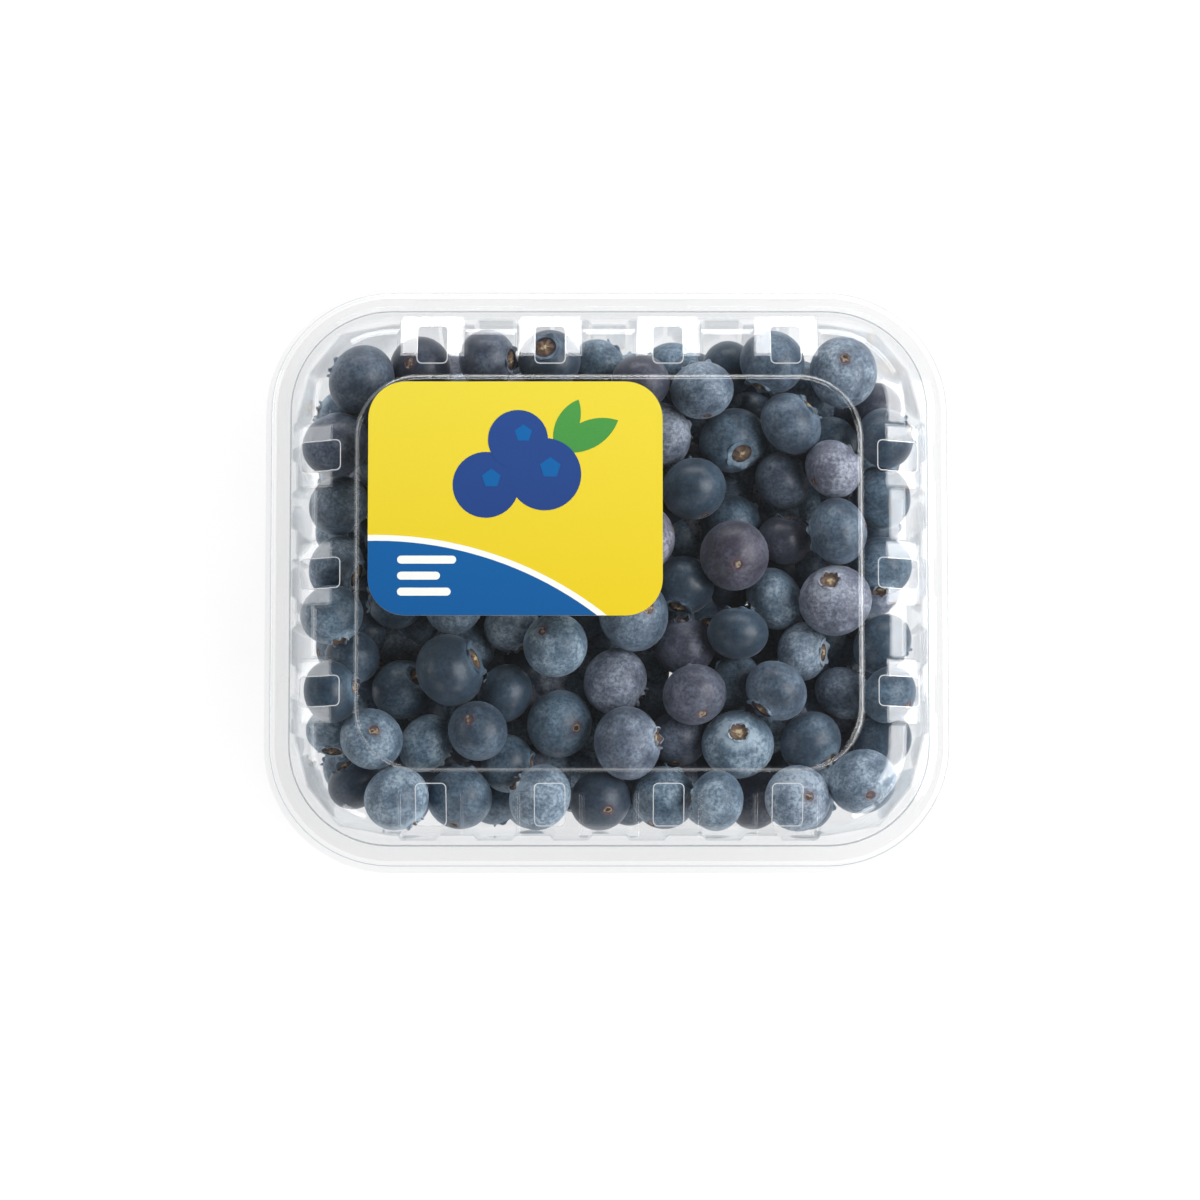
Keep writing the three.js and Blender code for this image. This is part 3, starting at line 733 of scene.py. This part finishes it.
# Steps in and up round the panel's edge, and its whole rise
PANEL_EDGE = (
    (0.05, 0.22), (0.05, 0.08), (0.08, 0.08), (0.12, 0.09), (0.24, 0.145), (0.14, 0.065), (0.12, 0.02))
PANEL_RISE = 0.7
VENT_PITCH = 22.1
VENTS = (4, 3)
LONG_SIDE_SHIFT = 1.3
POCKET_WIDTH = 12.3
POCKET_FOOT = (5.1, 4.14)
POCKET_HEAD = (12.9, 8.7)
POCKET_ROUND = 0.7
WINDOW_WIDTH = 5.5
WINDOW = (7.2, 14.7)
WINDOW_CORNER = 0.8
WINDOW_EDGE = 0.18
# The top of the blocks that cut pockets and windows, clear over the panel, and how deep the
# pockets' blocks are before their floors are sloped
CUTTER_TOP = RIM_HEIGHT + 14
CUTTER_DEPTH = 5
SNAP = (2.7, 4.2)
SNAP_WIDTH = 6.2
SNAP_SLOPE = 0.9
SNAP_RISE = 0.5
TAB_RADIUS = 5.3
TAB_PLACE = (HALF_LENGTH - 5.35, HALF_WIDTH - 5.35)
TAB_NECK = 12.7
# The neck's waist, as a share of its length from the disc, and how much wider foot and waist are
TAB_WAIST = 0.42
TAB_FLARE = (2.4, 1.65)


def lid_block(name, skin):
    """The lid's drawn form as a solid, or with skin at the sheet's thickness the space under it."""
    start = LIP_WIDTH + skin if skin else 0
    half = (HALF_LENGTH - start, HALF_WIDTH - start)
    piece = rounded_block(name, half, RIM_RADIUS - start, LIP_Z - skin, SHEET, CORNER_STEPS)
    levels = LID_LEVELS[1:] if skin else LID_LEVELS
    last = (LIP_WIDTH, SHEET - LIP_DROP) if skin else (0, SHEET - LIP_DROP)
    steps = []
    for level in levels:
        steps.append((level[0] - last[0], level[1] - last[1]))
        last = level
    press(steps)
    deck = RIM_HEIGHT + LID_LEVELS[-1][1] - skin
    half = [length - skin for length in PANEL_HALF]
    panel = rounded_block(name + "_panel", half, PANEL_RADIUS, deck - 1, 1, CORNER_STEPS)
    press(PANEL_EDGE)
    join_or_cut(piece, panel, "UNION")
    join_or_cut(piece, at_vents("pocket", pocket_block, skin), "DIFFERENCE")
    return piece


def at_vents(name, make, skin=0, shift=LONG_SIDE_SHIFT):
    """A piece at each vent of all four sides, those of the long sides further in by the shift."""
    copies = []
    for quarter in range(4):
        count = VENTS[quarter % 2]
        reach = (HALF_WIDTH - shift, HALF_LENGTH)[quarter % 2]
        for i in range(count):
            piece = make(f"{name}_{quarter}_{i}", reach, skin)
            object_mode()
            piece.data.transform(Matrix.Rotation(math.radians(90 * quarter), 4, "Z")
                                 @ Matrix.Translation(((i - (count - 1) / 2) * VENT_PITCH * MM, 0, 0)))
            copies.append(piece)
    object_mode()
    for piece in copies:
        piece.select_set(True)
    bpy.context.view_layer.objects.active = copies[0]
    bpy.ops.object.join()
    return bpy.context.object


def cutting_block(name, width, near, far, low, high):
    """A block across the front side, left in edit mode."""
    object_mode()
    bpy.ops.mesh.primitive_cube_add(size=1, location=(
        0, (near + far) / 2 * MM, (low + high) / 2 * MM))
    bpy.context.object.scale = (width * MM, (far - near) * MM, (high - low) * MM)
    piece = start_piece(name)
    edit(piece)
    return piece


def pocket_block(name, reach, skin):
    """Takes the shoulder down to the pocket's sloped floor, and leaves its sides upright."""
    near = POCKET_FOOT[0] - skin - reach
    far = POCKET_HEAD[0] + skin - reach
    low = CUTTER_TOP - CUTTER_DEPTH
    piece = cutting_block(name, POCKET_WIDTH + 2 * skin, near, far, low, CUTTER_TOP)
    for at_far, rise in ((False, POCKET_FOOT[1]), (True, POCKET_HEAD[1])):
        pick("verts", lambda at, normal: (
            at.z < CUTTER_TOP - 1 and (at.y > (near + far) / 2) == at_far))
        drop = RIM_HEIGHT + rise - skin - CUTTER_TOP + CUTTER_DEPTH
        bpy.ops.transform.translate(value=(0, 0, drop * MM))
    pick("edges", lambda at, normal: (
        abs(abs(at.x) - POCKET_WIDTH / 2 - skin) < 0.01 and at.z < CUTTER_TOP - 0.1))
    bpy.ops.mesh.bevel(offset=POCKET_ROUND * MM, segments=6, affect="EDGES")
    return piece


def window_block(name, reach, edge):
    """The vent that is punched through the pocket's floor, with its cut edge or without it."""
    low = RIM_HEIGHT + 1
    piece = cutting_block(name, WINDOW_WIDTH + 2 * edge, WINDOW[0] - edge - reach,
                          WINDOW[1] + edge - reach, low, CUTTER_TOP)
    pick("edges", lambda at, normal: abs(at.z - (low + CUTTER_TOP) / 2) < 0.1)
    bpy.ops.mesh.bevel(offset=(WINDOW_CORNER + edge) * MM, segments=4, affect="EDGES")
    return piece


def snap_block(name, reach, skin):
    """A low bump that swells out from the ridge, narrower at its front."""
    near, far = SNAP[0] - reach, SNAP[1] - reach
    low = RIM_HEIGHT - SHEET / 2
    piece = cutting_block(name, SNAP_WIDTH + 2 * SNAP_SLOPE, near, far, low, RIM_HEIGHT + SNAP_RISE)
    pick("verts", lambda at, normal: at.y < near + 0.1)
    bpy.ops.transform.resize(
        value=(SNAP_WIDTH / (SNAP_WIDTH + 2 * SNAP_SLOPE), 1, 1), center_override=(0, 0, 0))
    return piece


def finger_tab():
    """The flat tab on the lip's corner: a disc on a neck that widens into the lip."""
    object_mode()
    bpy.ops.mesh.primitive_cylinder_add(
        vertices=64, radius=TAB_RADIUS * MM, depth=SHEET * MM, location=(0, 0, SHEET / 2 * MM))
    disc = start_piece("tab_disc")
    neck = cutting_block("tab_neck", 2 * TAB_RADIUS, -TAB_NECK, 0, 0, SHEET)
    bpy.ops.mesh.bisect(plane_co=(0, -TAB_NECK * TAB_WAIST * MM, 0), plane_no=(0, 1, 0))
    for from_foot, wider in zip((0, TAB_NECK * (1 - TAB_WAIST)), TAB_FLARE):
        pick("verts", lambda at, normal: abs(at.y + TAB_NECK - from_foot) < 0.1)
        bpy.ops.transform.resize(value=(wider, 1, 1), center_override=(0, 0, 0))
    join_or_cut(disc, neck, "UNION")
    disc.data.transform(Matrix.Translation((TAB_PLACE[0] * MM, TAB_PLACE[1] * MM, LIP_Z * MM))
                        @ Matrix.Rotation(math.radians(-45), 4, "Z"))
    return disc


lid = lid_block("lid_shell", 0)
join_or_cut(lid, finger_tab(), "UNION")
join_or_cut(lid, at_vents("snap", snap_block, shift=0), "UNION")
join_or_cut(lid, lid_block("lid_space", SHEET), "DIFFERENCE")
window_edges = lid.copy()
window_edges.data = lid.data.copy()
window_edges.name = "lid_window_edges"
bpy.context.collection.objects.link(window_edges)
join_or_cut(window_edges, at_vents("window_edge", window_block, WINDOW_EDGE), "INTERSECT")
join_or_cut(window_edges, at_vents("window", window_block), "DIFFERENCE")
join_or_cut(lid, at_vents("window_edge", window_block, WINDOW_EDGE), "DIFFERENCE")

# A tight bend draws a thin grey line, because it sends the light that it gets off to the sides: its
# faces get a greyer tint, a painted shade for that line
LID_PET = clear_pet("clear PET, lid sheet", 0.002)
BEND_SHADE_PET = clear_pet("clear PET, painted grey shade at tight bends", 0.01, "#C4C8CB", "#B4BABD")
# The panel's rounded edge draws a pale line all round: it mirrors the lamps, and its milky share is a
# painted highlight along it
PANEL_EDGE_PET = clear_pet("clear PET, rounded edge of the panel, painted highlight", 0.14)
finish_piece(lid, LID_PET, BEND_SHADE_PET, PANEL_EDGE_PET, smooth=math.radians(20))
# Heights over the lid's rim between which slanted faces are tight bends, with their painted grey
# shade, or the panel's edge, with its painted highlight
BENDS = ((-0.5, -0.15), (0.75, 1.2))
EDGE_BAND = (LID_LEVELS[-1][1] + 0.35, LID_LEVELS[-1][1] + 0.66)
for face in lid.data.polygons:
    rise = face.center.z / MM - RIM_HEIGHT
    if 0.3 < face.normal.z < 0.95 and any(low < rise < high for low, high in BENDS):
        face.material_index = 1
    if 0.3 < face.normal.z < 0.95 and EDGE_BAND[0] < rise < EDGE_BAND[1]:
        face.material_index = 2
# Where the punch sheared the sheet, a ring 0.18 mm wide round each window is made milky: a painted
# highlight, for the fine pale line that the cut edge draws
finish_piece(window_edges, clear_pet("PET round the vents, milky painted highlight", 0.45), smooth=math.radians(20))
for piece in (lid, window_edges):
    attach(piece, "root")
    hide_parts("lid")


# The sticker
# Printed film, stuck on the panel's back left corner. Its print is plain fields of colour: a
# yellow field over a blue one with a white line between, three blue dots with two green leaves,
# and pale bars where a pack carries its words.

STICKER_HALF = (27.5, 22)
STICKER_PLACE = (-17.5, 13.8)
STICKER_CORNER = 7
STICKER_Z = RIM_HEIGHT + LID_LEVELS[-1][1] + PANEL_RISE + 0.02
FILM = 0.1
# A patch of ink is two of these thick and starts one higher than the layer under it
INK = 0.015
# The curve between the blue field and the yellow one is a wide arc, and the white line a wider one
SWEEP_MIDDLE = (-26, -76)
SWEEP_RADIUS = 68
LINE_WIDTH = 1.1
# Dots as place and radius, leaves as bearing and length, bars as left, low edge and length
DOTS = (((-5.5, 2.5), 6.2), ((5.5, 4.5), 6.8), ((0.5, 11), 5.6))
LEAVES = ((0.45, 13), (1.15, 10.5))
LEAF_STEM = (7.5, 9)
LEAF_PLUMPNESS = 0.72
BARS = ((-22, -12.3, 11), (-22, -15.3, 8), (-22, -18.3, 10))
BAR_HEIGHT = 1.5


# Printed polypropylene film with a satin varnish: flat colour that is a little uneven, as ink is when
# it is rolled on, and a little lighter towards the sticker's back edge, over a surface with the faint
# orange peel of the film.
def printed_film(name, colour, far_colour):
    material, output = new_material(name)
    place = add_node(material, "TexCoord").outputs["Object"]
    across = add_node(material, "SeparateXYZ", {"Vector": place}).outputs["Y"]
    fade = add_node(material, "MapRange", {
        "Value": across,
        "From Min": (STICKER_PLACE[1] - STICKER_HALF[1]) * MM,
        "From Max": (STICKER_PLACE[1] + STICKER_HALF[1]) * MM})
    ink = add_node(material, "TexNoise", {"Vector": place, "Scale": 1 / (0.4 * MM), "Detail": 2})
    uneven = add_node(material, "MapRange", {
        "Value": ink.outputs["Fac"], "From Min": 0.3, "From Max": 0.7,
        "To Min": -0.06, "To Max": 0.06})
    shade = add_node(material, "Math", {
        0: fade.outputs["Result"], 1: uneven.outputs["Result"]}, operation="ADD")
    print_colour = ramp(material, shade.outputs["Value"], (
        (0.0, hex_colour(colour)), (1.0, hex_colour(far_colour))))
    peel = add_node(material, "TexNoise", {"Vector": place, "Scale": 1 / (1.5 * MM), "Detail": 2})
    bump = add_node(material, "Bump", {
        "Height": peel.outputs["Fac"], "Strength": 0.1, "Distance": 0.05 * MM})
    film = add_node(material, "BsdfPrincipled", {
        "Base Color": print_colour, "Roughness": 0.38, "Normal": bump.outputs["Normal"]})
    material.node_tree.links.new(film.outputs["BSDF"], output.inputs["Surface"])
    return material


YELLOW = printed_film("yellow print on film", "#E4C81F", "#E8D43E")
BLUE = printed_film("blue print on film", "#0A5796", "#0C64A8")
DARK_BLUE = printed_film("dark blue print on film", "#1D3A78", "#274A8C")
GREEN = printed_film("green print on film", "#2E7A3C", "#4E9A48")
WHITE = printed_film("white print on film", "#F1F2EC", "#F8F8F4")


def ink_level(layer):
    """The height at which a layer of ink starts."""
    return STICKER_Z + FILM + (layer - 2) * INK


def sticker_plate(name, layer, grow=0.0):
    """The sticker's outline as a thin plate: the film, as layer 0, or a layer of ink over it."""
    half = [length + grow for length in STICKER_HALF]
    low = STICKER_Z if layer == 0 else ink_level(layer)
    thick = FILM if layer == 0 else 2 * INK
    piece = rounded_block(name, half, STICKER_CORNER + grow, low, thick, 12)
    object_mode()
    piece.data.transform(Matrix.Translation((STICKER_PLACE[0] * MM, STICKER_PLACE[1] * MM, 0)))
    return piece


def printed_disc(name, layer, place, radius, segments=48):
    """A round patch of ink, its place measured from the sticker's middle."""
    object_mode()
    x, y = (STICKER_PLACE[axis] + place[axis] for axis in (0, 1))
    bpy.ops.mesh.primitive_cylinder_add(
        vertices=segments, radius=radius * MM, depth=2 * INK * MM,
        location=(x * MM, y * MM, (ink_level(layer) + INK) * MM))
    return start_piece(name)


def printed_leaf(name, layer, stem, bearing, length, plumpness):
    """A leaf: what two round patches share, turned to its bearing at its stem."""
    radius = length * plumpness
    offset = math.sqrt(radius ** 2 - (length / 2) ** 2)
    towards = Vector((math.cos(bearing), math.sin(bearing)))
    middle = Vector(stem) + towards * length / 2
    side = Vector((-towards.y, towards.x)) * offset
    leaf = printed_disc(name, layer, middle + side, radius, 96)
    other = printed_disc(name + "_edge", layer, middle - side, radius, 96)
    join_or_cut(leaf, other, "INTERSECT")
    return leaf


def printed_bar(name, layer, left, low, length, height):
    """A bar with round ends, its left low corner measured from the sticker's middle."""
    # The corners are rounded by just under half the height, so that no two of their ends meet
    piece = rounded_block(
        name, (length / 2, height / 2), height * 0.499, ink_level(layer), 2 * INK, 6)
    object_mode()
    x = STICKER_PLACE[0] + left + length / 2
    y = STICKER_PLACE[1] + low + height / 2
    piece.data.transform(Matrix.Translation((x * MM, y * MM, 0)))
    return piece


print_work = [(sticker_plate("sticker_film", 0), YELLOW)]
for layer, name, colour, wider in ((1, "line", WHITE, LINE_WIDTH), (2, "field", BLUE, 0)):
    patch = sticker_plate("sticker_" + name, layer, -0.02)
    sweep = printed_disc("sweep", layer, SWEEP_MIDDLE, SWEEP_RADIUS + wider, 192)
    # The disc is made higher, to reach through the patch that it cuts
    sweep.data.transform(Matrix.Diagonal((1, 1, 1.5, 1)))
    sweep.data.transform(Matrix.Translation((0, 0, -0.5 * (STICKER_Z + FILM) * MM)))
    join_or_cut(patch, sweep, "INTERSECT")
    print_work.append((patch, colour))
for i, (place, radius) in enumerate(DOTS):
    print_work.append((printed_disc(f"dot_{i}", 2 + i, place, radius), DARK_BLUE))
    star = printed_disc(f"dot_crown_{i}", 5, (place[0] + 1, place[1] + 1.2), radius * 0.3, 5)
    print_work.append((star, BLUE))
for i, (bearing, length) in enumerate(LEAVES):
    leaf = printed_leaf(f"leaf_{i}", 1 + i, LEAF_STEM, bearing, length, LEAF_PLUMPNESS)
    print_work.append((leaf, GREEN))
for i, (left, low, length) in enumerate(BARS):
    print_work.append((printed_bar(f"bar_{i}", 4, left, low, length, BAR_HEIGHT), WHITE))

for piece, colour in print_work:
    finish_piece(piece, colour)
object_mode()
for piece, _ in print_work:
    piece.select_set(True)
sticker = print_work[0][0]
bpy.context.view_layer.objects.active = sticker
bpy.ops.object.join()
sticker.name = "sticker"
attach(sticker, "root")
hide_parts("label")


# The studio
# A white floor that glows like a light table, soft light from all sides, and the photograph's
# view: from nearly straight above, a little to the front, through a long lens.

object_mode()
bpy.ops.mesh.primitive_plane_add(size=6, location=(0, 0, -0.0002))
floor = start_piece("floor")
floor_material, floor_output = new_material("white light table")
paper = add_node(floor_material, "BsdfPrincipled", {
    "Base Color": hex_colour("#8A8A8A"), "Roughness": 0.9,
    "Emission Color": hex_colour("#FFFFFF"), "Emission Strength": 0.84})
floor_material.node_tree.links.new(paper.outputs["BSDF"], floor_output.inputs["Surface"])
# The glow reaches the pack by bounced rays, and the floor isn't sampled as a lamp
floor_material.cycles.emission_sampling = "NONE"
floor.data.materials.append(floor_material)

# The photograph's side and the place of the rim's middle in it, in pixels
PHOTO_SIDE = 1200
RIM_CENTRE_PIXEL = (609, 579.5)
MM_PER_PIXEL = 0.189
ELEVATION = math.radians(84)
DISTANCE = 0.9
aim = Vector((
    (PHOTO_SIDE / 2 - RIM_CENTRE_PIXEL[0]) * MM_PER_PIXEL * MM,
    (RIM_CENTRE_PIXEL[1] - PHOTO_SIDE / 2) * MM_PER_PIXEL * MM,
    LIP_Z * MM))
camera_data = bpy.data.cameras.new("camera")
camera_data.sensor_width = 36
camera_data.lens = 36 * DISTANCE / (PHOTO_SIDE * MM_PER_PIXEL * MM)
camera_data.clip_start = 0.05
camera = bpy.data.objects.new("camera", camera_data)
bpy.context.scene.collection.objects.link(camera)
camera.location = aim + DISTANCE * Vector((0, -math.cos(ELEVATION), math.sin(ELEVATION)))
camera.rotation_euler = (math.pi / 2 - ELEVATION, 0, 0)
bpy.context.scene.camera = camera


def soft_light(name, place, size, radiance):
    """A soft box, its size across and up, that faces the punnet."""
    light = bpy.data.lights.new(name, "AREA")
    light.shape = "RECTANGLE"
    light.size, light.size_y = size
    light.energy = radiance * math.pi * size[0] * size[1]
    lamp = bpy.data.objects.new(name, light)
    bpy.context.scene.collection.objects.link(lamp)
    lamp.location = place
    lamp.rotation_euler = Vector(place).to_track_quat("Z", "Y").to_euler()


# Low strips on three sides, which the vents' sloped floors and the panel's edge mirror to the lens
soft_light("strip, back", (0, 1.12, 0.43), (1.3, 0.26), 8)
soft_light("strip, right", (1.08, -0.2, 0.555), (1.6, 0.17), 5.5)
soft_light("strip, left", (-1.08, 0.1, 0.53), (0.9, 0.26), 3)
# Small boxes off the corners, which draw the panel's round corners and the front vents' edges
soft_light("small box, front right", (0.55, -0.9, 0.4), (0.34, 0.2), 7)
soft_light("small box, front left", (-0.55, -0.9, 0.4), (0.34, 0.2), 5)
soft_light("small box, back right", (0.76, 0.8, 0.49), (0.5, 0.16), 5)
# The main light, a broad box high on the right
soft_light("soft box, right", (1.0, 0.05, 1.0), (0.95, 0.95), 6.2)

# White walls all round, and a dark ceiling behind the camera that the flat panel mirrors
world = bpy.data.worlds.new("studio")
bpy.context.scene.world = world
world.use_nodes = True
background = world.node_tree.nodes["Background"]
background.inputs["Color"].default_value = hex_colour("#FFFFFF")
direction = add_node(world, "TexCoord").outputs["Generated"]
height = add_node(world, "SeparateXYZ", {"Vector": direction}).outputs["Z"]
brightness = add_node(world, "MapRange", {
    "Value": height, "From Min": 0.7, "From Max": 0.93, "To Min": 0.25, "To Max": 0.04},
    interpolation_type="SMOOTHSTEP")
world.node_tree.links.new(brightness.outputs["Result"], background.inputs["Strength"])
bpy.context.scene.view_settings.view_transform = "Standard"

# A ray through the shut pack crosses the lid's and the tray's walls many times
bpy.context.scene.cycles.transparent_max_bounces = 32
bpy.context.scene.cycles.max_bounces = 5
bpy.context.scene.cycles.glossy_bounces = 2
bpy.context.scene.cycles.diffuse_bounces = 2
